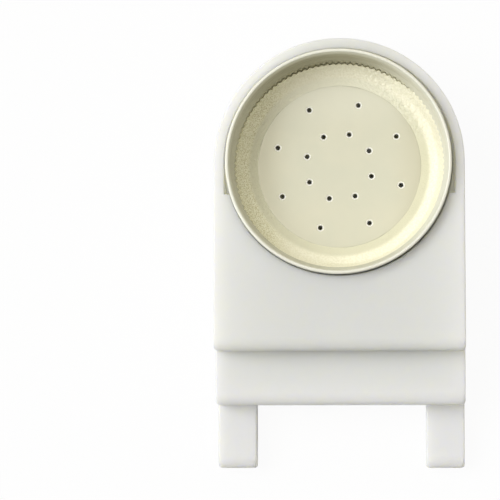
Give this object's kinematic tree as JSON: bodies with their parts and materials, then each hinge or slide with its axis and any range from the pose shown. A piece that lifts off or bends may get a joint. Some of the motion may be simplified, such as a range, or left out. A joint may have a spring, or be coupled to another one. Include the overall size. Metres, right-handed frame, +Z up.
{
  "type": "hive entrance feeder",
  "caption": "Stepped white moulded syrup feeder: its legs slide into a beehive entrance, a round well holds a perforated metal jar lid, and bees feed from below.",
  "frame": {"origin": "middle of the footprint on the plane that the feeder stands on", "axes": "+Z up out of the open jar lid, +Y along the length towards the round outdoor end, so the legs point to -Y into the hive, +X across the width"},
  "size_m": [0.082, 0.1404, 0.032],
  "materials": {
    "white_plastic": "satin injection-moulded white plastic",
    "floor_plastic": "satin injection-moulded white plastic",
    "lacquered_tinplate": "tinplate with a pale gold and cream lacquer, half gloss",
    "sealing_compound": "flowed-in plastisol sealing compound with a fine orange-peel surface"
  },
  "bodies": {
    "feeder_base": {"body_shell": "white_plastic", "floor_plate": "floor_plastic"},
    "loose_lid": {"jar_lid": "lacquered_tinplate", "sealing_ring": "sealing_compound"}
  },
  "joints": [
    {"name": "jar_lid_lift", "type": "slide", "parent": "feeder_base", "child": "loose_lid", "axis": [0, 0, 1], "range_m": [0, 0.03]}
  ]
}
